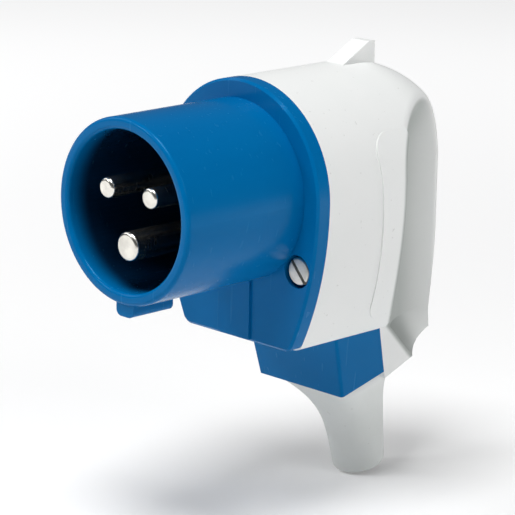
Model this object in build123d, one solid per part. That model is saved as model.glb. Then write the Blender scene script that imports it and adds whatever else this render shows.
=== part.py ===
from build123d import *

import os
from math import atan, atan2, cos, degrees, radians, sin, sqrt

# Right-angle industrial plug, two poles and earth, for 16 A.
# Millimetres. +Z is up and the contact pins point to -Y. The origin is on the shroud's axis, in the
# flange's front plane. The plug stands as it does in a wall socket, with its cable leaving downwards.

# Shroud, the round tube around the pins
shroud_radius = 22.0
shroud_wall = 2.9
shroud_length = 37.0
shroud_lip_round = 1.0
key_half_width = 2.9
key_height = 3.0
key_length = 12.5
key_round = 1.6

# Flange outline: a half circle on top, bowed sides and a straight foot
flange_radius = 26.5
flange_side_bow = 83.0
flange_drop = 36.8
flange_corner = 2.8
flange_thickness = 4.0
flange_bevel = 0.6
band_half_width = 5.0
band_height = 0.6
carrier_ledge = 1.5
spigot_height = 3.0
spigot_wall = 1.6
spigot_gap = 0.15

# Gasket ring let into the flange's back
gasket_edge = 0.6
gasket_width = 1.2
gasket_depth = 0.8

# Contact pins. The circle is the one that the pins' axes stand on.
pin_circle = 8.4
pole_pin_radius = 2.5
earth_pin_radius = 3.5
pin_setback = 1.4
pin_tip_round = 0.9
root_step = 0.5
collar_step = 1.4
collar_length = 4.0
barrel_step = 1.2
barrel_end = 22.5
wire_hole_radius = 1.9
wire_hole_depth = 10.0
terminal_from_end = 5.5
pin_gap = 0.1

# Contact carrier and the plate that holds the pins in it
bore_gap = 0.2
carrier_face = -2.0
carrier_rim_step = 2.2
carrier_rim_length = 3.0
carrier_drum_step = 1.4
carrier_back = 8.0
retainer_thickness = 2.5
retainer_step = 1.0
ear_x = 12.5
ear_z = -21.5
ear_radius = 3.2
tongue_half_width = 3.5
hook_thickness = 1.6

# Screws, each with its shank, head and slot
flange_screw = dict(shank=2.0, head=3.4, height=2.2, slot=0.9, deep=1.1)
carrier_screw = dict(shank=1.25, head=2.3, height=1.7, slot=0.7, deep=0.8)
clamp_screw = dict(shank=1.5, head=2.6, height=1.9, slot=0.8, deep=0.9)
terminal_screw = dict(shank=1.2, head=1.9, height=1.5, slot=0.6, deep=0.7)
thread_gap = 0.05
hole_gap = 0.2
carrier_screw_reach = 5.0
flange_screw_edge = 6.4
flange_screw_z = -16.5
flange_screw_reach = 11.0
flange_slot_angle = -49.0
screw_recess_radius = 4.0
blind_depth = 0.3
screw_sink = 0.4
insert_radius = 2.8
insert_length = 8.0
insert_sink = 0.6
boss_radius = 4.2
boss_length = 17.0
boss_floor = 2.0

# Rear cover, a moulded shell with a domed back and a finger groove on each side
cover_wall = 2.4
cover_depth = 59.8
cover_drop_step = 0.5
dome_flat = 0.5
spine_half_width = 9.0
groove_radius = 26.0
groove_y = 55.3
groove_top = 2.0
groove_edge_round = 3.0
lower_roll_lean = 42.0
waist_lean = 4.4
waist_z = -38.0
waist_foot = 10.0
lean_start_z = -8.0
hip_round = 23.0
hip_length = 9.5
hip_top = 11.7
pad_height = 0.35
pad_front = 21.0
pad_lean = 4.0
pad_length = 12.0
pad_top = 14.0
pad_foot = -33.5
pad_round = 5.0
hook_half_width = 2.8
hook_front = 32.4
hook_back = 43.7
hook_top = 31.3
hook_flat = 2.2

# Cable entry. Its axis leans back, and the entry splits in two along it.
entry_y = 37.8
entry_z = -49.8
entry_lean = 14.0
entry_half_width = 14.4
entry_flare = 0.068
block_front = 15.4
block_wall = 2.2
block_floor = 2.4
block_edge_round = 0.8
block_gap = 0.15
block_rise = 2.0
tail_drop = 1.9
tail_slope = 0.092
lug_x = 10.5
lug_z = 19.5
lug_radius = 3.2
lug_thickness = 5.0
block_screw_reach = 7.0
lug_boss_length = 16.0

# Cord grip inside the entry
cable_radius = 5.2
grip_z = 10.5
grip_height = 6.0
grip_screw_x = 9.2
grip_boss_radius = 2.8
grip_boss_length = 13.0
grip_face = 0.0
grip_plate = 3.5
grip_arch = 2.0
grip_reach = 5.0
saddle_depth = 8.0

# Flexible sleeve around the cable
sleeve_neck_radius = 8.2
sleeve_hole_gap = 0.2
sleeve_rim_radius = 10.4
sleeve_rim = 2.6
sleeve_length = 29.6
sleeve_end_radius = 6.6
sleeve_end_round = 1.2
sleeve_skirt = 2.0
sleeve_skirt_x = 12.9
sleeve_skirt_front = 12.4
sleeve_skirt_back = 8.7
sleeve_front_power = 8.0
sleeve_back_power = 1.3
sleeve_flare_power = 3.2
sleeve_seat_gap = 0.05

# Sizes that follow from the ones above
shroud_bore = shroud_radius - shroud_wall
pin_tip = -shroud_length + pin_setback
pole_angle = 30.0
cover_back = flange_thickness + cover_depth
cover_drop = flange_drop + cover_drop_step
collar_front = carrier_back - collar_length
retainer_back = carrier_back + retainer_thickness
groove_x = spine_half_width + groove_radius
dome_round = flange_radius - dome_flat
flange_screw_x = flange_radius - flange_screw_edge
sleeve_hole = sleeve_neck_radius + sleeve_hole_gap
far = 200.0


def across(sketch, front, back):
    """Extrude a sketch drawn in X and Z along Y, from front to back."""
    return extrude(Plane((0, back, 0), x_dir=(1, 0, 0), z_dir=(0, -1, 0)) * sketch, back - front)


def rod(x, z, radius, front, back):
    """A round bar along Y."""
    return across(Pos(x, z) * Circle(radius), front, back)


def both_sides(shape):
    """A shape and its mirror image on the other side of X = 0."""
    return [shape, mirror(shape, about=Plane.YZ)]


def at_entry(shape):
    """Move a shape from the cable entry's own frame, with Z up the cable's axis, to its place."""
    return Pos(0, entry_y, entry_z) * Rot(entry_lean, 0, 0) * shape


def plug_outline(drop, inset=0.0):
    """The flange's outline, or a line that stays inset within it."""
    top = flange_radius - inset
    bow = flange_side_bow - inset
    low = inset - drop
    shift = flange_side_bow - flange_radius
    foot_x = sqrt(bow**2 - low**2) - shift
    waist_x = sqrt(bow**2 - (low / 2) ** 2) - shift
    face = make_face(
        [
            ThreePointArc((-top, 0), (0, top), (top, 0)),
            ThreePointArc((top, 0), (waist_x, low / 2), (foot_x, low)),
            Line((foot_x, low), (-foot_x, low)),
            ThreePointArc((-foot_x, low), (-waist_x, low / 2), (-top, 0)),
        ]
    )
    corners = face.vertices().group_by(Axis.Y)[0]
    return fillet(corners, max(flange_corner - inset, 0.5))


def slotted_screw(size, reach, slot_angle=0.0):
    """A screw with a slotted head. It points down, and its origin is under the head."""
    head = Cylinder(size["head"], size["height"], align=(Align.CENTER, Align.CENTER, Align.MIN))
    head = fillet(head.edges().group_by(Axis.Z)[-1], size["height"] / 4)
    slot = Box(2 * size["head"] + 1, size["slot"], 2 * size["deep"])
    head -= Pos(0, 0, size["height"]) * Rot(0, 0, slot_angle) * slot
    shank = Cylinder(size["shank"], reach, align=(Align.CENTER, Align.CENTER, Align.MAX))
    return head + chamfer(shank.edges().group_by(Axis.Z)[0], size["shank"] / 4)


def facing_front(shape, x, y, z):
    """Place a screw with its head towards -Y. X stays X and the screw's Y becomes Z."""
    return Plane((x, y, z), x_dir=(1, 0, 0), z_dir=(0, -1, 0)) * shape


def facing_back(shape, x, y, z):
    """Place a screw with its head towards +Y."""
    return Plane((x, y, z), x_dir=(1, 0, 0), z_dir=(0, 1, 0)) * shape


# Contact pins. Each has a collar that the carrier holds, and a barrel with its terminal.


def pin_place(angle):
    """X and Z of a pin's axis, at an angle from +X in the front view."""
    return pin_circle * cos(radians(angle)), pin_circle * sin(radians(angle))


def contact_pin(radius, angle):
    """A turned pin with a rounded tip, a collar, a wire hole and a threaded cross hole."""
    x, z = pin_place(angle)
    front = rod(x, z, radius, pin_tip, collar_front)
    front = fillet(front.edges().group_by(Axis.Y)[0], pin_tip_round)
    root = rod(x, z, radius + root_step, carrier_face, collar_front)
    collar = rod(x, z, radius + collar_step, collar_front, carrier_back)
    barrel = rod(x, z, radius + barrel_step, carrier_back, barrel_end)
    wire_hole = rod(x, z, wire_hole_radius, barrel_end - wire_hole_depth, barrel_end)
    outwards = Plane((x, barrel_end - terminal_from_end, z), z_dir=(x, 0, z))
    thread = outwards * Cylinder(
        terminal_screw["shank"] + thread_gap, far, align=(Align.CENTER, Align.CENTER, Align.MIN)
    )
    return front + root + collar + barrel - wire_hole - thread


def pin_terminal_screw(radius, angle):
    """The screw that clamps a wire in a pin's barrel. Its head rests on the barrel."""
    x, z = pin_place(angle)
    outwards = Plane((x, barrel_end - terminal_from_end, z), z_dir=(x, 0, z))
    crest = radius + barrel_step
    return outwards * Pos(0, 0, crest) * slotted_screw(terminal_screw, crest - wire_hole_radius / 2)


pins = {
    "line": (pole_pin_radius, 180.0 - pole_angle),
    "neutral": (pole_pin_radius, pole_angle),
    "earth": (earth_pin_radius, -90.0),
}

# Contact carrier, retainer plate and the two screws that hold them


def contact_carrier():
    """The insulating drum that closes the shroud and carries the pins."""
    rim_radius = shroud_bore + carrier_rim_step
    rim_back = carrier_ledge + carrier_rim_length
    body = rod(0, 0, shroud_bore - bore_gap, carrier_face, carrier_ledge)
    body += rod(0, 0, rim_radius, carrier_ledge, rim_back)
    body += rod(0, 0, shroud_bore - carrier_drum_step, rim_back, carrier_back)
    for radius, angle in pins.values():
        x, z = pin_place(angle)
        body -= rod(x, z, radius + root_step + pin_gap, carrier_face, collar_front)
        body -= rod(x, z, radius + collar_step + pin_gap, collar_front, carrier_back)
    return body


def pin_retainer():
    """The plate behind the carrier, with two screwed ears and a tongue under the housing's hook."""
    disc_radius = shroud_bore - carrier_drum_step - retainer_step
    sketch = Circle(disc_radius)
    tongue_top = shroud_bore + carrier_rim_step
    sketch += Pos(0, tongue_top / 2) * Rectangle(2 * tongue_half_width, tongue_top)
    for ear in both_sides(Pos(ear_x, ear_z) * Circle(ear_radius)):
        sketch += ear
    reach = sqrt(ear_x**2 + ear_z**2)
    arm = Pos(reach / 2, 0) * Rectangle(reach, 2 * ear_radius)
    for arm_on_side in both_sides(Rot(0, 0, degrees(atan2(ear_z, ear_x))) * arm):
        sketch += arm_on_side
    plate = across(sketch, carrier_back, retainer_back)
    for hole in both_sides(
        rod(ear_x, ear_z, carrier_screw["shank"] + hole_gap, carrier_back, retainer_back)
    ):
        plate -= hole
    for radius, angle in pins.values():
        x, z = pin_place(angle)
        plate -= rod(x, z, radius + barrel_step + pin_gap, carrier_back, retainer_back)
    return plate


# Front housing: flange, shroud, key and the seats behind the flange


def front_housing():
    """The moulded front, one piece from the shroud's mouth to the spigot in the cover."""
    plate = across(plug_outline(flange_drop), 0, flange_thickness)
    plate = chamfer(plate.edges().group_by(Axis.Y)[0], flange_bevel)
    band = Pos(0, -flange_drop / 2) * Rectangle(2 * band_half_width, flange_drop)
    plate += across(band, -band_height, flange_bevel) & across(
        plug_outline(flange_drop, flange_bevel), -band_height, flange_bevel
    )
    tube = across(Circle(shroud_radius) - Circle(shroud_bore), -shroud_length, 0)
    tube = fillet(tube.edges().group_by(Axis.Y)[0], shroud_lip_round)
    key = Pos(0, -shroud_radius) * RectangleRounded(2 * key_half_width, 2 * key_height, key_round)
    key_front = shroud_lip_round - shroud_length
    key = across(key, key_front, key_front + key_length) - rod(0, 0, shroud_bore + 0.5, key_front, 0)
    body = plate + key + tube
    body -= rod(0, 0, shroud_bore, -band_height, carrier_ledge)

    seat = shroud_bore + carrier_rim_step + bore_gap
    body -= rod(0, 0, seat, carrier_ledge, flange_thickness)
    wall = cover_wall + spigot_gap
    outer = plug_outline(flange_drop, wall)
    inner = plug_outline(flange_drop, wall + spigot_wall)
    spigot = across(outer - inner, flange_thickness, flange_thickness + spigot_height)
    keep_out = rod(
        flange_screw_x,
        flange_screw_z,
        boss_radius + spigot_wall,
        flange_thickness,
        flange_thickness + spigot_height,
    )
    for boss in both_sides(keep_out):
        spigot -= boss
    body += spigot
    for piece in retainer_bosses() + [retainer_hook()]:
        body += piece
    blind_end = carrier_back - carrier_screw_reach - blind_depth
    for x in (-ear_x, ear_x):
        body -= rod(x, ear_z, carrier_screw["shank"] + thread_gap, blind_end, carrier_back)

    outer = plug_outline(flange_drop, gasket_edge)
    inner = plug_outline(flange_drop, gasket_edge + gasket_width)
    body -= across(outer - inner, flange_thickness - gasket_depth, flange_thickness)
    screw_seat = screw_sink + flange_screw["height"]
    for x in (-flange_screw_x, flange_screw_x):
        body -= rod(x, flange_screw_z, screw_recess_radius, -1, screw_seat)
        body -= rod(x, flange_screw_z, flange_screw["shank"] + hole_gap, 0, flange_thickness)
    return body


def retainer_bosses():
    """Two posts behind the flange for the retainer's screws."""
    return [rod(x, ear_z, ear_radius, flange_thickness - 1, carrier_back) for x in (-ear_x, ear_x)]


def retainer_hook():
    """The hook at the top that holds the retainer's tongue."""
    edge = shroud_bore + carrier_rim_step
    low = edge + bore_gap
    tip = retainer_back + hook_thickness
    top = flange_radius - cover_wall - spigot_gap
    profile = Polyline(
        (flange_thickness - 1, low),
        (retainer_back, low),
        (retainer_back, edge - hook_thickness),
        (tip, edge - hook_thickness),
        (tip, top - hook_thickness / 2),
        (flange_thickness - 1, top - hook_thickness / 2),
        close=True,
    )
    return extrude(Plane.YZ * make_face(profile), tongue_half_width, both=True)


def flange_gasket():
    """The sealing ring in the flange's back, pressed by the cover's edge."""
    outer = plug_outline(flange_drop, gasket_edge + thread_gap)
    inner = plug_outline(flange_drop, gasket_edge + gasket_width - thread_gap)
    return across(outer - inner, flange_thickness - gasket_depth, flange_thickness)


# Rear cover. Its outside and its hollow are the same form, one wall apart.


def entry_prism(inset, front, back, low, high):
    """The flared box of the cable entry, in the entry's own frame."""
    low_x = entry_half_width + entry_flare * low - inset
    high_x = entry_half_width + entry_flare * high - inset
    sketch = Polyline((-low_x, low), (low_x, low), (high_x, high), (-high_x, high), close=True)
    return across(make_face(sketch), front, back)


def cover_form(inset):
    """The cover's solid form, shrunk by inset on every outer face."""
    radius = flange_radius - inset
    back = cover_back - inset
    corner = dome_round - inset
    drop = cover_drop
    plan = make_face(
        [
            Line((0, flange_thickness), (radius, flange_thickness)),
            Line((radius, flange_thickness), (radius, back - corner)),
            RadiusArc((radius, back - corner), (radius - corner, back), -corner),
            Line((radius - corner, back), (0, back)),
            Line((0, back), (0, flange_thickness)),
        ]
    )
    dome = revolve(plan, Axis.Y, 360)
    whole_plan = plan + mirror(plan, about=Plane.YZ)
    below = extrude(Plane((0, 0, -far)) * whole_plan, far)
    wide = dome + (below & across(plug_outline(cover_drop, inset), flange_thickness, far))
    floor = block_floor if inset else -2 * tail_drop - tail_slope * far
    tail = at_entry(entry_prism(inset, 0, far, floor, 2 * lug_z)) & below
    under_waist = Pos(0, 0, waist_z - far / 2) * Box(far, far, far)
    foot = tail & under_waist
    for groove in both_sides(finger_groove(inset)):
        wide -= groove
        tail -= groove
    for groove in both_sides(leaning_groove(inset)):
        foot -= groove
    if inset == 0:
        wide = fillet(wide.edges().filter_by(is_groove_edge), groove_edge_round)
        tail = fillet(tail.edges().filter_by(is_spine_edge), groove_edge_round)
    tail = tail - under_waist - waist_cut(inset)
    return wide - hip_cut(inset) + tail + (foot - waist_cut(inset)) - waist_cut(inset)


def hip_cut(inset):
    """What is cut away under the wide body's rounded back corner."""
    narrow = entry_half_width + entry_flare * lug_z - inset
    reach = groove_radius + inset
    hip_y = groove_y - sqrt(reach**2 - (groove_x - narrow) ** 2)
    low = inset - cover_drop
    start = (hip_y - hip_length, low)
    end = (hip_y, low + hip_round - sqrt(hip_round**2 - hip_length**2))
    profile = make_face(
        [
            RadiusArc(start, end, -hip_round),
            Line(end, (hip_y, low + hip_top)),
            Line((hip_y, low + hip_top), (far, low + hip_top)),
            Line((far, low + hip_top), (far, -far)),
            Line((far, -far), (start[0], -far)),
            Line((start[0], -far), start),
        ]
    )
    return extrude(Plane.YZ * profile, far, both=True)


def waist_cut(inset):
    """What is cut from the back, so that the spine draws in towards its foot."""
    back = cover_back - inset
    waist = back - waist_lean
    foot = waist + waist_lean / 3
    foot_z = waist_z - waist_foot
    start = (back + waist_lean / 8, lean_start_z + waist_lean)
    profile = make_face(
        [
            ThreePointArc(
                start,
                (back - 0.6 * waist_lean, (lean_start_z + waist_z) / 2),
                (waist, waist_z),
            ),
            Line((waist, waist_z), (foot, foot_z)),
            Line((foot, foot_z), (foot, -far)),
            Line((foot, -far), (far, -far)),
            Line((far, -far), (far, start[1])),
            Line((far, start[1]), start),
        ]
    )
    return extrude(Plane.YZ * profile, far, both=True)


def finger_groove(inset):
    """The round roll cut from one side, with a ball at its upper end."""
    radius = groove_radius + inset
    roll = Cylinder(radius, far, align=(Align.CENTER, Align.CENTER, Align.MAX))
    return Pos(groove_x, groove_y, groove_top) * (roll + Sphere(radius))


def leaning_groove(inset):
    """The roll below the waist. It leans back, so that it runs out at the spine's foot."""
    circle = Plane((groove_x, groove_y, waist_z)) * Circle(groove_radius + inset)
    way = Vector(0, sin(radians(lower_roll_lean)), -cos(radians(lower_roll_lean)))
    return extrude(circle, far / 4, dir=way)


def below_tail():
    """What is cut away under the tail, in the entry's own frame."""
    slope = tail_slope * far
    profile = Polyline(
        (0, -tail_drop), (far, -tail_drop - slope), (far, -far), (0, -far), close=True
    )
    return extrude(Plane.YZ * make_face(profile), far, both=True)


def grip_pads():
    """A shallow pad on each side. It stands up in front and fades out towards the groove."""
    profile = Polyline(
        (pad_front, pad_top),
        (groove_y, pad_top),
        (groove_y, pad_foot),
        (pad_front + pad_lean, pad_foot),
        close=True,
    )
    sketch = make_face(profile)
    sketch = fillet(sketch.vertices(), pad_round)
    slab = extrude(Plane.YZ * sketch, far, both=True)
    front = Plane((0, pad_front, 0), x_dir=(1, 0, 0), z_dir=(0, 1, 0))
    outline = mirror(plug_outline(cover_drop, -pad_height), about=Plane.XZ)
    fade = degrees(atan(pad_height / pad_length))
    return slab & extrude(front * outline, pad_length + 1, taper=fade)


def lid_hook():
    """The wedge on top that holds the socket's lid."""
    base = flange_radius - cover_wall
    ramp = (hook_front, sqrt(flange_radius**2 - hook_half_width**2))
    profile = Polyline(
        (hook_front, base),
        ramp,
        (hook_back - hook_flat, hook_top),
        (hook_back, hook_top),
        (hook_back, base),
        close=True,
    )
    return extrude(Plane.YZ * make_face(profile), hook_half_width, both=True)


def cover_supports():
    """Bosses and the cable saddle inside the cover, before they are trimmed to its form."""
    supports = Part()
    front = flange_thickness
    for x in (-flange_screw_x, flange_screw_x):
        supports += rod(x, flange_screw_z, boss_radius, front, front + boss_length)
    for x in (-lug_x, lug_x):
        supports += at_entry(rod(x, lug_z, lug_radius, 0, lug_boss_length))
    for x in (-grip_screw_x, grip_screw_x):
        supports += at_entry(rod(x, grip_z, grip_boss_radius, grip_face, grip_boss_length))
    saddle = Pos(0, grip_z) * Rectangle(2 * grip_screw_x, grip_height)
    supports += at_entry(across(saddle, grip_face, saddle_depth))
    return supports


def rear_cover():
    """The moulded shell, hollow from the flange to the spine."""
    outside = cover_form(0) - at_entry(below_tail()) + grip_pads()
    shell = outside + lid_hook() - cover_form(cover_wall)
    opening = entry_prism(-block_gap, -block_front - block_gap, 0, -tail_drop, lug_z + lug_radius)
    shell -= at_entry(opening) & under_block_top()
    shell += cover_supports() & outside
    front = flange_thickness
    bore_end = boss_length - boss_floor
    for x in (-flange_screw_x, flange_screw_x):
        shell -= rod(x, flange_screw_z, insert_radius + thread_gap, front, front + insert_seat())
        shell -= rod(x, flange_screw_z, flange_screw["shank"] + hole_gap, front, front + bore_end)
    for x in (-lug_x, lug_x):
        shell -= at_entry(rod(x, lug_z, clamp_screw["shank"] + thread_gap, 0, block_screw_reach + 1))
    for x in (-grip_screw_x, grip_screw_x):
        shell -= at_entry(
            rod(x, grip_z, clamp_screw["shank"] + thread_gap, grip_face, grip_reach + 1)
        )
    way_top = grip_z + grip_height / 2 + 1 - block_floor
    cable_way = Cylinder(cable_radius, way_top, align=(Align.CENTER, Align.CENTER, Align.MIN))
    neck_way = Cylinder(sleeve_hole, far)
    shell -= at_entry(Pos(0, 0, block_floor) * cable_way)
    shell -= at_entry(neck_way & Pos(0, 0, block_floor - far / 2) * Box(far, far, far))
    return shell


def under_block_top():
    """Everything below the height to which the entry block stands up inside the cover."""
    return Pos(0, 0, cover_wall + block_rise - cover_drop - far / 2) * Box(far, far, far)


def insert_seat():
    """How deep an insert's hole goes behind the cover's edge."""
    return insert_sink + insert_length


def is_groove_edge(edge):
    """True on the sharp edges where a finger groove meets the cover's sides, dome and spine."""
    middle = edge @ 0.5
    along_ball = edge.geom_type == GeomType.CIRCLE and abs(middle.Z - groove_top) < 0.01
    on_foot = abs(middle.Z + cover_drop) < 0.01
    return touches_groove(edge) and not along_ball and not on_foot


def is_spine_edge(edge):
    """True on the tail's upright edges at the back of the spine."""
    upright = edge.geom_type == GeomType.LINE and abs((edge % 0.5).Z) > 0.99
    return upright and touches_groove(edge) and (edge @ 0.5).Y > groove_y


def touches_groove(edge):
    """True where the whole edge lies on a groove's surface."""
    for part in (0.1, 0.5, 0.9):
        p = edge @ part
        rise = max(p.Z - groove_top, 0.0)
        away = sqrt((abs(p.X) - groove_x) ** 2 + (p.Y - groove_y) ** 2 + rise**2)
        if abs(away - groove_radius) > 0.02:
            return False
    return True


def threaded_insert(x):
    """A brass insert in a cover boss, for a flange screw."""
    front = flange_thickness + insert_sink
    back = front + insert_length
    body = rod(x, flange_screw_z, insert_radius, front, back)
    return body - rod(x, flange_screw_z, flange_screw["shank"] + thread_gap, front, back)


# Cable entry block, the front half of the cable entry


def entry_block():
    """The block in front of the cable, open to the back, with two screwed lugs inside the cover."""
    top = lug_z + lug_radius
    outer = entry_prism(0, -block_front, 0, 0, top)
    front_edges = outer.edges().filter_by(Axis.Y, reverse=True).group_by(Axis.Y)[0]
    outer = fillet(front_edges.filter_by(Axis.X, reverse=True), block_edge_round)
    hollow = entry_prism(block_wall, block_wall - block_front, 0, block_floor, top + 1)
    body = outer - hollow
    body = at_entry(body) & under_block_top()
    foot = grip_z + grip_height / 2 + 1.0
    wall_x = entry_half_width + entry_flare * foot - block_wall / 2
    for side in (-1, 1):
        lug = Pos(side * lug_x, lug_z) * Circle(lug_radius)
        inner_x = lug_x - lug_radius
        lug += Pos(side * (inner_x + wall_x) / 2, (foot + lug_z) / 2) * Rectangle(
            wall_x - inner_x, lug_z - foot
        )
        body += at_entry(across(lug, -lug_thickness, 0))
        hole = rod(side * lug_x, lug_z, clamp_screw["shank"] + hole_gap, -lug_thickness, 0)
        body -= at_entry(hole)
    return body - at_entry(Cylinder(sleeve_hole, 3 * block_floor))


# Cord grip


def cord_clamp():
    """The arched bar that presses the cable on the saddle."""
    half = grip_screw_x + grip_boss_radius
    low = grip_z - grip_height / 2
    plate = Pos(0, grip_z) * RectangleRounded(2 * half, grip_height, grip_height / 4)
    bar = across(plate, grip_face - grip_plate, grip_face)
    arch = Pos(0, 0, low) * Cylinder(
        cable_radius + grip_arch, grip_height, align=(Align.CENTER, Align.CENTER, Align.MIN)
    )
    arch &= Pos(0, grip_face - far / 2, 0) * Box(far, far, far)
    bar += arch
    bar -= Cylinder(cable_radius, far)
    for x in (-grip_screw_x, grip_screw_x):
        hole = clamp_screw["shank"] + hole_gap
        bar -= rod(x, grip_z, hole, grip_face - grip_plate, grip_face)
    return at_entry(bar)


# Flexible sleeve


def sleeve_section(depth):
    """The sleeve's section at a depth below the entry, from a square-shouldered skirt to a circle."""
    along = max(depth - sleeve_skirt, 0.0) / (sleeve_length - sleeve_skirt)
    drawn_in = 1 - (1 - along) ** sleeve_flare_power
    end = sleeve_end_radius
    half = sleeve_skirt_x + (end - sleeve_skirt_x) * drawn_in
    front = sleeve_skirt_front + (end - sleeve_skirt_front) * drawn_in
    back = sleeve_skirt_back + (end - sleeve_skirt_back) * drawn_in
    square = 2 + (sleeve_front_power - 2) * (1 - drawn_in) ** 2
    sharp = 2 + (sleeve_back_power - 2) * (1 - drawn_in)
    points = []
    for step in range(24):
        turn = radians(15 * step - 90)
        power, depth_y = (sharp, back) if sin(turn) > 0 else (square, front)
        x = half * abs(cos(turn)) ** (2 / power)
        y = depth_y * abs(sin(turn)) ** (2 / power)
        points.append((x if cos(turn) > 0 else -x, y if sin(turn) > 0 else -y))
    return Pos(0, 0, -depth) * make_face(Spline(*points, periodic=True))


def cord_sleeve():
    """The soft sleeve: a skirt under the entry's foot that draws in to a round tube."""
    flare = sleeve_length - sleeve_skirt
    depths = [0.0] + [sleeve_skirt + flare * share for share in (0, 0.1, 0.22, 0.36, 0.52, 0.72, 1)]
    skirt = extrude(sleeve_section(0), -sleeve_skirt)
    tube = loft([sleeve_section(depth) for depth in depths[1:]])
    tube = fillet(tube.edges().group_by(Axis.Z)[0], sleeve_end_round)
    neck = Cylinder(
        sleeve_neck_radius, block_floor, align=(Align.CENTER, Align.CENTER, Align.MIN)
    )
    rim = Pos(0, 0, block_floor) * Cylinder(
        sleeve_rim_radius, sleeve_rim, align=(Align.CENTER, Align.CENTER, Align.MIN)
    )
    behind = Polyline(
        (-sleeve_seat_gap, far),
        (-sleeve_seat_gap, -tail_drop - sleeve_seat_gap),
        (far, -tail_drop - sleeve_seat_gap - tail_slope * far),
        (far, far),
        close=True,
    )
    outside = skirt + tube - extrude(Plane.YZ * make_face(behind), far, both=True)
    body = outside + neck + rim + Pos(0, 0, -tail_drop - block_floor) * Cylinder(
        sleeve_neck_radius, tail_drop + block_floor, align=(Align.CENTER, Align.CENTER, Align.MIN)
    )
    return at_entry(body - Cylinder(cable_radius, far))


# All pieces, one solid each


def all_pieces():
    """Every piece of the plug by its name."""
    pieces = {
        "front_housing": front_housing(),
        "contact_carrier": contact_carrier(),
        "pin_retainer": pin_retainer(),
        "flange_gasket": flange_gasket(),
        "rear_cover": rear_cover(),
        "entry_block": entry_block(),
        "cord_clamp": cord_clamp(),
        "cord_sleeve": cord_sleeve(),
    }
    for name, (radius, angle) in pins.items():
        pieces[name + "_pin"] = contact_pin(radius, angle)
        pieces[name + "_terminal_screw"] = pin_terminal_screw(radius, angle)
    for side, name in ((-1, "left"), (1, "right")):
        pieces["flange_insert_" + name] = threaded_insert(side * flange_screw_x)
        pieces["flange_screw_" + name] = facing_front(
            slotted_screw(flange_screw, flange_screw_reach, side * flange_slot_angle),
            side * flange_screw_x,
            screw_sink + flange_screw["height"],
            flange_screw_z,
        )
        pieces["carrier_screw_" + name] = facing_back(
            slotted_screw(carrier_screw, carrier_screw_reach + retainer_thickness),
            side * ear_x,
            retainer_back,
            ear_z,
        )
        block_screw = slotted_screw(clamp_screw, lug_thickness + block_screw_reach)
        pieces["block_screw_" + name] = at_entry(
            facing_front(block_screw, side * lug_x, -lug_thickness, lug_z)
        )
        grip_screw = slotted_screw(clamp_screw, grip_plate + grip_reach - grip_face)
        pieces["clamp_screw_" + name] = at_entry(
            facing_front(grip_screw, side * grip_screw_x, grip_face - grip_plate, grip_z)
        )
    return pieces


if __name__ == "__main__":
    os.makedirs("parts", exist_ok=True)
    for node, piece in all_pieces().items():
        export_step(piece, f"parts/{node}.step")
        print(node, len(piece.solids()), round(piece.volume, 1))
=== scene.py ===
# %% [markdown]
# Right-angle industrial plug.
# The solid model comes in as a fixed frame: every moulded part, pin and screw is already at its place and
# its size, in metres. This file gives the plug its camera, its light, two pieces with a mesh of their own
# and its finishes, one step at a time.

# %% Load the frame and keep its box
from math import atan2, cos, pi, radians, sin

import bmesh
import bpy
from mathutils import Matrix, Vector


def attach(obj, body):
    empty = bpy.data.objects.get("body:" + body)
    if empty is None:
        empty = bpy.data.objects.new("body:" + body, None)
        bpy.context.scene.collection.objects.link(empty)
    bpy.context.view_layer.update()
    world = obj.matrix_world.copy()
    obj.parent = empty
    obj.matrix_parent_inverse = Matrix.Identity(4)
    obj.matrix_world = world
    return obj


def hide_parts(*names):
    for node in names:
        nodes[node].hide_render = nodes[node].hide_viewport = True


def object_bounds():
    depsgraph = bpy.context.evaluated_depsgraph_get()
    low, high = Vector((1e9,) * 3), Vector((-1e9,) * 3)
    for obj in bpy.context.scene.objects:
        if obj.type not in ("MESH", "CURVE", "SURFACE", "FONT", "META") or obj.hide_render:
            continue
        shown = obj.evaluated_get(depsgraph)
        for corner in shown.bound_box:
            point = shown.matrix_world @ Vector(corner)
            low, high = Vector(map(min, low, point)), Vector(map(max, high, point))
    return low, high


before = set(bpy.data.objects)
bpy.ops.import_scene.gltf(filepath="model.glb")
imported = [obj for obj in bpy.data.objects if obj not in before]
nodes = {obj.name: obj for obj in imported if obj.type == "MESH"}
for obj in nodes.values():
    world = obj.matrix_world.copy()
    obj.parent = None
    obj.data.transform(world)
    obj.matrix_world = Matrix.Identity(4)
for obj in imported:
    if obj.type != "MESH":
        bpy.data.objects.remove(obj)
cad_low, cad_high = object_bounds()
print("nodes:", len(nodes), "box in mm:", [round(1000 * v, 1) for v in (*cad_low, *cad_high)])

# %% [markdown]
# The camera. A long lens from a little above, looking along the diagonal between the plug's face and its
# right side, keeps the round shroud nearly free of perspective. The camera's own axes are made by turning
# it in steps: first up from the floor, then round the plug, and last a small roll about its line of sight.

# %% Camera
view_azimuth, view_height, view_roll = 44.94, 14.44, 1.03
camera_place = Vector((0.4367, -0.4306, 0.1411))
sensor_width, long_lens, nearest = 36.0, 184.96, 0.05
camera_data = bpy.data.cameras.new("camera")
camera_data.sensor_width = sensor_width
camera_data.lens = long_lens
camera_data.clip_start = nearest
camera = bpy.data.objects.new("camera", camera_data)
bpy.context.scene.collection.objects.link(camera)
turn = Matrix.Rotation(radians(view_azimuth), 4, "Z") @ Matrix.Rotation(radians(90 - view_height), 4, "X")
camera.matrix_world = Matrix.Translation(camera_place) @ turn @ Matrix.Rotation(radians(view_roll), 4, "Z")
bpy.context.scene.camera = camera
print("camera looks along", [round(-v, 3) for v in camera.matrix_world.col[2][:3]])

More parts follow.
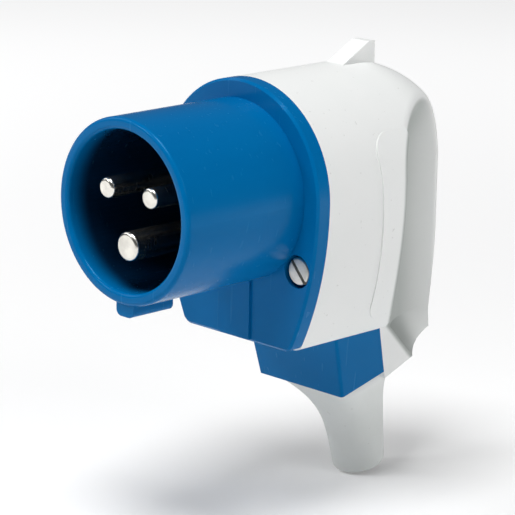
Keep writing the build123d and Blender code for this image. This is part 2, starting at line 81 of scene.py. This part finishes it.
# %% [markdown]
# Shader maths. A finish is a small calculation for each point of the surface. Written as nodes it is hard
# to read, so a little class wraps an output socket and lets Python's own signs add the Math nodes. One
# method adds every other kind of node.


# %% A bench for building finishes
class Signal:
    """A value that varies over the surface, ready for Python's arithmetic."""

    def __init__(self, bench, socket):
        self.bench, self.socket = bench, socket

    def __add__(self, other):
        return self.bench.math("ADD", self, other)

    def __sub__(self, other):
        return self.bench.math("SUBTRACT", self, other)

    def __rsub__(self, other):
        return self.bench.math("SUBTRACT", other, self)

    def __mul__(self, other):
        return self.bench.math("MULTIPLY", self, other)

    __radd__ = __add__


class Bench:
    """A material under construction."""

    def __init__(self, name, **constants):
        self.material = bpy.data.materials.new(name)
        self.material.use_nodes = True
        self.tree = self.material.node_tree
        self.surface = self.tree.nodes["Principled BSDF"]
        self.place = self.node("ShaderNodeTexCoord", out="Object")
        for socket, value in constants.items():
            self.surface.inputs[socket.replace("_", " ")].default_value = value

    def node(self, kind, settings=None, sockets=None, out=0):
        """Add a node: its settings first, then what its sockets get."""
        made = self.tree.nodes.new(kind)
        for key, value in (settings or {}).items():
            setattr(made, key, value)
        for key, value in (sockets or {}).items():
            self.feed(made.inputs[key], value)
        return Signal(self, made.outputs[out])

    def feed(self, socket, value):
        """Link a signal to a socket, or set the socket's own value."""
        if isinstance(value, Signal):
            self.tree.links.new(value.socket, socket)
        else:
            socket.default_value = value

    def math(self, operation, *values):
        """A Math node on signals and numbers."""
        return self.node("ShaderNodeMath", {"operation": operation}, dict(enumerate(values)))

    def axes(self):
        """X, Y and Z of the surface's own point, in metres."""
        split = {"Vector": self.place}
        return [self.node("ShaderNodeSeparateXYZ", {}, split, out=axis) for axis in range(3)]

    def noise(self, scale, detail=2.0, rough=0.5, stretch=(1, 1, 1)):
        """Soft noise from 0 to 1, with features of about one metre over scale."""
        place = self.node("ShaderNodeMapping", {}, {"Vector": self.place, "Scale": stretch})
        sockets = {"Vector": place, "Scale": scale, "Detail": detail, "Roughness": rough}
        return self.node("ShaderNodeTexNoise", {}, sockets)

    def step(self, value, low, high):
        """0 below low, 1 above high, smooth between."""
        settings = {"interpolation_type": "SMOOTHSTEP"}
        sockets = {"Value": value, "From Min": low, "From Max": high}
        return self.node("ShaderNodeMapRange", settings, sockets)

    def mix(self, factor, one, other):
        """A blend of two colours."""
        settings = {"data_type": "RGBA"}
        return self.node("ShaderNodeMix", settings, {"Factor": factor, 6: one, 7: other}, out=2)

    def bump(self, height, depth, strength=1.0):
        """A surface normal from a height, whose full range stands for depth in metres."""
        return self.node("ShaderNodeBump", {}, {"Height": height, "Distance": depth, "Strength": strength})

    def finish(self, **varying):
        """Link what varies to the surface, and hand over the material."""
        for socket, value in varying.items():
            self.feed(self.surface.inputs[socket.replace("_", " ")], value)
        print("finish:", self.material.name, "nodes:", len(self.tree.nodes))
        return self.material


# %% [markdown]
# The floor. A pale paper sweep is laid flat under the plug. Its emission is painted light, brighter further
# out, and it is painted darker beneath the plug as a painted shadow, so that the shroud's underside keeps
# its depth.

# %% Floor
floor_size, floor_gap, floor_shadow_radius, glow_radius = 6.0, 0.0005, 0.12, 0.7
bpy.ops.object.select_all(action="DESELECT")
bpy.ops.mesh.primitive_plane_add(size=floor_size, location=(0, 0, cad_low.z - floor_gap))
floor = bpy.context.object
floor.name = "floor"
paper_grey, floor_shadow_grey, glow_white = (0.8, 0.8, 0.8, 1), (0.35, 0.35, 0.35, 1), (1, 1, 1, 1)
paper = Bench("pale_floor", Base_Color=paper_grey, Roughness=0.9, Emission_Strength=0.5)
paper_x, paper_y = paper.axes()[:2]
# painted shadow: the floor's emission is darker near the plug and brighter further out
from_plug = paper.math("SQRT", paper_x * paper_x + paper_y * paper_y)
glow = paper.step(from_plug, floor_shadow_radius, glow_radius)
paper_glow = paper.mix(glow, floor_shadow_grey, glow_white)
floor.data.materials.append(paper.finish(Emission_Color=paper_glow))

# %% [markdown]
# The light. Product pictures of moulded plastic use large soft sources, because a small lamp draws hard
# spots on a glossy tube. The top panel hangs above and a little in front, and is by far the strongest, so
# that the tops are bright and the sides fall off downwards. The key panel looks into the shroud from the
# front left, a panel on each side opens the shadows, a low strip behind the plug draws a soft band along
# the shroud's side, and the world itself is nearly dark.

# %% Lamps and world
room_colour, room_strength = (0.93, 0.95, 1.0, 1), 0.08
plug_middle = (0, 0.01, -0.01)
world = bpy.data.worlds.new("pale_room")
world.use_nodes = True
world.node_tree.nodes["Background"].inputs["Color"].default_value = room_colour
world.node_tree.nodes["Background"].inputs["Strength"].default_value = room_strength
bpy.context.scene.world = world
bpy.context.scene.view_settings.view_transform = "Standard"


def soft_panel(name, place, aim, width, height, power):
    """An area lamp that faces a point."""
    lamp = bpy.data.lights.new(name, "AREA")
    lamp.shape = "RECTANGLE"
    lamp.size, lamp.size_y = width, height
    lamp.energy = power
    holder = bpy.data.objects.new(name, lamp)
    bpy.context.scene.collection.objects.link(holder)
    away = (Vector(place) - Vector(aim)).normalized()
    holder.matrix_world = Matrix.Translation(place) @ away.to_track_quat("Z", "Y").to_matrix().to_4x4()
    print(name, "at", place, "watts", power)


soft_panel("top_panel", (0.12, -0.32, 1.05), plug_middle, 0.5, 0.5, 11.5)
soft_panel("key_panel", (-0.55, -0.85, 0.7), (0, 0, 0), 0.3, 0.3, 3.8)
soft_panel("left_panel", (-0.9, -0.35, 0.6), plug_middle, 0.5, 0.5, 1.4)
soft_panel("side_panel", (0.95, 0.05, 0.65), plug_middle, 0.5, 0.5, 2.2)
soft_panel("low_strip", (0.16, 0.31, -0.07), (0.01, -0.02, -0.005), 0.2, 0.03, 0.2)

# %% [markdown]
# The cable sleeve. On the real plug it is a soft moulded tube: square-shouldered where it leaves the entry,
# drawn in quickly at the front, straight at the back, and round with a soft lip at its end. It could be a
# lathe shape if it were round all the way. Here a plain cylinder is cut into rings, every ring is given its
# own outline and height, down the outside and up the bore again, and the two ends are bridged.

# %% The entry's own frame and the sleeve's rings
entry = Matrix.Translation((0, 0.0378, -0.0498)) @ Matrix.Rotation(radians(14.0), 4, "X")
sleeve_length, sleeve_end, sleeve_bore, lip_round = 0.0296, 0.0066, 0.0052, 0.0012
shoulder_side, shoulder_front, shoulder_back, shoulder_depth = 0.0129, 0.0124, 0.0100, 0.0020
draw_in, back_draw, shoulder_square = 3.2, 2.4, 6
points_round, outer_rings, ring_growth, lip_rings = 96, 28, 1.15, 6
bore_shares = (0.0, 0.02, 0.5, 1.0)


def ring_outline(depth):
    """Half width, reach to the front, reach to the back and squareness at a depth."""
    along = min(max(depth - shoulder_depth, 0.0) / (sleeve_length - shoulder_depth), 1.0)
    drawn = 1 - (1 - along) ** draw_in
    side = shoulder_side + (sleeve_end - shoulder_side) * drawn
    front = shoulder_front + (sleeve_end - shoulder_front) * drawn
    back = sleeve_end + (shoulder_back - sleeve_end) * (1 - along**back_draw)
    return side, front, back, 2 + shoulder_square * (1 - drawn) ** 2


straight = sleeve_length - lip_round
rings = [(straight * (ring / outer_rings) ** ring_growth, 0.0) for ring in range(outer_rings + 1)]
for ring in range(1, lip_rings + 1):
    turn = pi / 2 * ring / lip_rings
    rings.append((sleeve_length - lip_round * (1 - sin(turn)), lip_round * (1 - cos(turn))))
rings += [(sleeve_length * (1 - share), None) for share in bore_shares]
print("sleeve rings:", len(rings))

# %% Cable sleeve
merge_distance = 0.0000005
foot_drop, foot_rise, foot_lap, shoulder_gap, soft_angle = 0.0020, 0.12, 0.00015, 0.0001, 50
bpy.ops.object.select_all(action="DESELECT")
bpy.ops.mesh.primitive_cylinder_add(
    vertices=points_round, radius=shoulder_back, depth=1.0, end_fill_type="NOTHING"
)
sleeve = bpy.context.object
sleeve.name = "soft_cord_sleeve"
bpy.ops.object.mode_set(mode="EDIT")
bpy.ops.mesh.select_mode(type="EDGE")
bpy.ops.mesh.select_all(action="DESELECT")
sleeve_mesh = bmesh.from_edit_mesh(sleeve.data)
for edge in sleeve_mesh.edges:
    edge.select = abs(edge.verts[0].co.z - edge.verts[1].co.z) > 0.5
bpy.ops.mesh.subdivide(number_cuts=len(rings) - 2)
sleeve_mesh = bmesh.from_edit_mesh(sleeve.data)
for point in sleeve_mesh.verts:
    depth, inset = rings[round((0.5 - point.co.z) * (len(rings) - 1))]
    turn = atan2(point.co.y, point.co.x)
    side, front, back, square = ring_outline(depth)
    if inset is None:
        side = front = back = sleeve_bore
        square, inset = 2, 0.0
    if point.co.y > 0:
        front, square = back, 2
    x = (side - inset) * abs(cos(turn)) ** (2 / square) * (1 if cos(turn) > 0 else -1)
    y = (front - inset) * abs(sin(turn)) ** (2 / square) * (1 if sin(turn) > 0 else -1)
    seat = shoulder_gap if y < shoulder_gap else foot_drop - foot_rise * y
    point.co = (x, y, -max(depth, seat))
bpy.ops.mesh.select_all(action="SELECT")
bpy.ops.mesh.remove_doubles(threshold=merge_distance)
bpy.ops.mesh.select_all(action="DESELECT")
sleeve_mesh = bmesh.from_edit_mesh(sleeve.data)
for edge in sleeve_mesh.edges:
    edge.select = edge.is_boundary
bpy.ops.mesh.bridge_edge_loops()
bpy.ops.mesh.select_all(action="SELECT")
bpy.ops.mesh.normals_make_consistent(inside=False)
bpy.ops.object.mode_set(mode="OBJECT")
sleeve.data.transform(entry)
bpy.ops.object.shade_smooth_by_angle(angle=radians(soft_angle))
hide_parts("cord_sleeve")
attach(sleeve, "root")
print("sleeve faces:", len(sleeve.data.polygons))

# %% [markdown]
# The pale shell keeps the solid model's form, with two touches: the pads' ends are set back, and the tail
# is cut away under its foot in a plane that rises to the back. The frame's mesh is made of loose patches,
# each with fine normals of its own from the solid. So the copy's normals are first kept as an attribute of
# its corners, which passes through merging and cutting, and then the patches are joined into one skin.

# %% A joined copy of the shell
shell = bpy.data.objects.new("cover_shell", nodes["rear_cover"].data.copy())
bpy.context.scene.collection.objects.link(shell)
bpy.ops.object.select_all(action="DESELECT")
shell.select_set(True)
bpy.context.view_layer.objects.active = shell
wall_normals = shell.data.attributes.new("wall_normal", "FLOAT_VECTOR", "CORNER")
for corner, normal in zip(wall_normals.data, shell.data.corner_normals):
    corner.vector = normal.vector
loose_points = len(shell.data.vertices)
bpy.ops.object.mode_set(mode="EDIT")
bpy.ops.mesh.select_all(action="SELECT")
bpy.ops.mesh.remove_doubles(threshold=merge_distance)
bpy.ops.object.mode_set(mode="OBJECT")
print("shell points joined:", loose_points, "to", len(shell.data.vertices))

# %% [markdown]
# On the real shell the raised pads run out into the finger grooves without a step. On the solid their flat
# ends stand a little proud, so the points of those ends are set back on the groove's wall, and get the
# normal of that wall, which points to the groove's axis, or to the middle of its ball end at the top.

# %% Pads flush with the grooves
groove_x, groove_y, groove_top, groove_radius = 0.035, 0.0553, 0.002, 0.026
pad_end, pad_low, pad_high, spine_side, nearness = 0.034, -0.0336, 0.0141, 0.0184, 0.00002


def on_pad_end(point):
    """True for a point of the flat ends that the pads leave in the grooves."""
    in_plane = abs(point.y - pad_end) < nearness
    return in_plane and abs(point.x) > spine_side and pad_low < point.z < pad_high


ends = {point.index for point in shell.data.vertices if on_pad_end(point.co)}
for index in ends:
    point = shell.data.vertices[index].co
    aside, above = groove_x - abs(point.x), max(point.z - groove_top, 0.0)
    point.y = min(pad_end, groove_y - (groove_radius**2 - aside**2 - above**2) ** 0.5)
wall_normals = shell.data.attributes["wall_normal"]
for face in shell.data.polygons:
    if all(index in ends for index in face.vertices):
        for corner, index in zip(face.loop_indices, face.vertices):
            point = shell.data.vertices[index].co
            aside = (groove_x - abs(point.x)) * (1 if point.x > 0 else -1)
            above = max(point.z - groove_top, 0.0)
            wall_normals.data[corner].vector = Vector((aside, groove_y - point.y, -above)).normalized()
print("points set back:", len(ends))

# %% The tail's rising foot
cut_merge = 0.000002
bpy.ops.object.mode_set(mode="EDIT")
foot_normal = (entry.to_3x3() @ Vector((0, foot_rise, -1))).normalized()
foot_point = entry @ Vector((0, 0, foot_lap - foot_drop))
bpy.ops.mesh.select_all(action="SELECT")
bpy.ops.mesh.bisect(plane_co=foot_point, plane_no=foot_normal, clear_outer=True)
bpy.ops.mesh.remove_doubles(threshold=cut_merge)
bpy.ops.mesh.fill(use_beauty=False)
bpy.ops.mesh.faces_shade_flat()
bpy.ops.object.mode_set(mode="OBJECT")
wall_normals = shell.data.attributes["wall_normal"]
normals = []
for face in shell.data.polygons:
    cut = abs((face.center - foot_point).dot(foot_normal)) < cut_merge
    for corner in face.loop_indices:
        normals.append(foot_normal if cut else wall_normals.data[corner].vector.normalized())
shell.data.attributes.remove(wall_normals)
shell.data.normals_split_custom_set(normals)
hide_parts("rear_cover")
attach(shell, "root")
print("shell faces:", len(shell.data.polygons))

# %% [markdown]
# The blue plastic. Real parts are moulded in coloured polyamide: a deep, slightly glossy blue, with flow
# streaks too faint to see as colour but enough to break up the highlight, tiny pits, and fine scratches
# from being pushed into sockets. The bore of the shroud looks almost black, because hardly any light comes
# back out of it, so its colour is deepened there.

# %% Blue plastic
deep_blue = (0.0, 0.108, 0.31, 1)
pale_blue = (0.0, 0.140, 0.37, 1)
night_blue = (0.001, 0.006, 0.02, 1)
scratch_blue = (0.03, 0.24, 0.5, 1)
bore_mouth, bore_depth, bore_radius, shroud_inside = -0.0365, -0.030, 0.0190, 0.0196


def scratches(bench, scale, turn, share):
    """Thin straight lines, 1 on a scratch: noise drawn out along one direction."""
    turned = {"Vector": bench.place, "Rotation": turn, "Scale": (1, 1, 0.035)}
    place = bench.node("ShaderNodeMapping", {}, turned)
    fine = {"Vector": place, "Scale": scale, "Detail": 1.0, "Roughness": 0.4}
    lines = bench.node("ShaderNodeTexNoise", {}, fine)
    return bench.step(lines, 1 - share, 1 - share + 0.03)


def blue_plastic():
    bench = Bench("blue_moulding", Coat_Roughness=0.1, IOR=1.22, Specular_Tint=(0.04, 0.6, 1.0, 1))
    flow = bench.noise(60, 3.0, stretch=(1, 0.3, 1))
    grain = bench.noise(2600, 3.0, 0.6)
    marks = scratches(bench, 900, (0.4, 0.9, 0.2), 0.28) + scratches(bench, 700, (1.1, -0.6, 0.5), 0.26)
    x, y, z = bench.axes()
    from_axis = bench.math("SQRT", x * x + z * z)
    skin = bench.mix(flow, deep_blue, pale_blue)
    skin = bench.mix(marks * 0.09, skin, scratch_blue)
    inside = bench.step(y, bore_mouth, bore_depth)
    inside = inside * (1 - bench.step(from_axis, bore_radius, shroud_inside))
    skin = bench.mix(inside, skin, night_blue)
    return bench.finish(
        Base_Color=skin,
        Roughness=0.2 + grain * 0.06 + flow * 0.05 + marks * 0.12,
        Coat_Weight=0.03 + flow * 0.04,
        Normal=bench.bump(grain * 0.6 - marks, 0.00002, 0.7),
    )


# %% [markdown]
# The pale plastic. The shell is a matte thermoplastic in a cool off-white, moulded in a tool with a very
# fine sparked texture. Its colour drifts a little where it is handled, and the walls of the finger grooves
# are painted grey as painted shade, fading on their edges and towards the spine. The same recipe, with
# other colours and a coarser grain, serves the soft sleeve and the dark inner parts.

# %% Pale plastic
shell_white = (0.80, 0.81, 0.80, 1)
shell_worn = (0.78, 0.795, 0.785, 1)
# painted shade: the grey that the walls of the finger grooves are mixed towards
groove_shade_grey = (0.30, 0.325, 0.31, 1)
speck_grey = (0.42, 0.42, 0.40, 1)
waist_z, roll_lean = -0.038, 0.9
spine_start, spine_end, spine_shade_fade, groove_shade_share = 0.046, 0.061, 0.65, 0.95
shade_edge_inner, shade_edge_outer = (-0.0009, -0.0002), (0.0001, 0.0012)


def groove_painted_shade(bench):
    """Painted shade: 1 on the walls of the two finger grooves, fading on their edges and towards the spine.
    """
    x, y, z = bench.axes()
    aside = bench.math("ABSOLUTE", x) - groove_x
    above = bench.math("MAXIMUM", z - groove_top, 0.0)
    behind = y - groove_y - bench.math("MAXIMUM", waist_z - z, 0.0) * roll_lean
    away = bench.math("SQRT", aside * aside + behind * behind + above * above)
    from_wall = away - groove_radius
    on_wall = bench.step(from_wall, *shade_edge_inner) * (1 - bench.step(from_wall, *shade_edge_outer))
    return on_wall * (1 - bench.step(y, spine_start, spine_end) * spine_shade_fade)


def pale_plastic(name, one, other, grain_scale, depth, smooth, shade_grooves=False):
    bench = Bench(name, IOR=1.46)
    drift = bench.noise(35, 4.0, 0.55)
    grain = bench.noise(grain_scale, 4.0, 0.65)
    specks = bench.step(bench.noise(900, 1.0), 0.74, 0.78)
    skin = bench.mix(bench.step(drift, 0.35, 0.8), one, other)
    skin = bench.mix(specks * 0.3, skin, speck_grey)
    if shade_grooves:
        # painted shade: the groove walls are mixed towards grey
        skin = bench.mix(groove_painted_shade(bench) * groove_shade_share, skin, groove_shade_grey)
    return bench.finish(
        Base_Color=skin,
        Roughness=smooth + grain * 0.12 + drift * 0.06,
        Normal=bench.bump(grain, depth, 0.6),
    )


# %% [markdown]
# Metal. The pins are brass turned on a lathe and nickel plated, so very fine rings run round them. The
# screws are zinc-plated steel with a duller, cloudy skin. The inserts are bare brass.


# %% Plated metals
def turned_metal(name, colour, shade, smooth, rings):
    bench = Bench(name, Metallic=1.0)
    cloud = bench.noise(220, 4.0, 0.6)
    lines = bench.noise(1800, 2.0, 0.5, stretch=(0.05, rings, 0.05))
    skin = bench.mix(bench.step(cloud, 0.35, 0.75), colour, shade)
    return bench.finish(
        Base_Color=skin,
        Roughness=smooth + cloud * 0.1 + lines * 0.08,
        Normal=bench.bump(lines, 0.000012, 0.5),
    )


# %% [markdown]
# The finishes are made once and shared. Every node of the frame keeps its mesh and only has its material
# slots filled, by its name: pins in nickel, screws in zinc, and so on. The shell and the sleeve, which have
# meshes of their own here, get theirs last.

# %% Give every node its finish
dark = (0.006, 0.008, 0.012, 1)
sleeve_pale, sleeve_shade = (0.70, 0.72, 0.71, 1), (0.64, 0.665, 0.65, 1)
finishes = {
    "blue": blue_plastic(),
    "shell": pale_plastic("pale_shell", shell_white, shell_worn, 1900, 0.00002, 0.38, shade_grooves=True),
    "sleeve": pale_plastic("soft_sleeve", sleeve_pale, sleeve_shade, 1300, 0.00004, 0.48),
    "carrier": pale_plastic("dark_moulding", dark, (0.012, 0.014, 0.02, 1), 2100, 0.00002, 0.42),
    "seal": pale_plastic("black_seal", dark, (0.02, 0.02, 0.02, 1), 1500, 0.00003, 0.6),
    "nickel": turned_metal("nickel_plate", (0.80, 0.78, 0.72, 1), (0.62, 0.60, 0.55, 1), 0.16, 1.0),
    "steel": turned_metal("zinc_plate", (0.62, 0.61, 0.58, 1), (0.42, 0.41, 0.38, 1), 0.26, 0.6),
    "brass": turned_metal("bare_brass", (0.78, 0.60, 0.28, 1), (0.60, 0.44, 0.20, 1), 0.28, 1.0),
}


def finish_of(name):
    """Which finish a node of the frame gets."""
    if name.endswith("_pin"):
        return "nickel"
    if "screw" in name:
        return "steel"
    if "insert" in name:
        return "brass"
    wanted = {"front_housing": "blue", "entry_block": "blue", "rear_cover": "shell", "cord_clamp": "shell"}
    wanted.update(cord_sleeve="sleeve", flange_gasket="seal")
    return wanted.get(name, "carrier")


for name, node in nodes.items():
    for place in range(len(node.material_slots)):
        node.material_slots[place].material = finishes[finish_of(name)]
for piece, finish in ((sleeve, "sleeve"), (shell, "shell")):
    piece.data.materials.clear()
    piece.data.materials.append(finishes[finish])
print("finished nodes:", len(nodes))
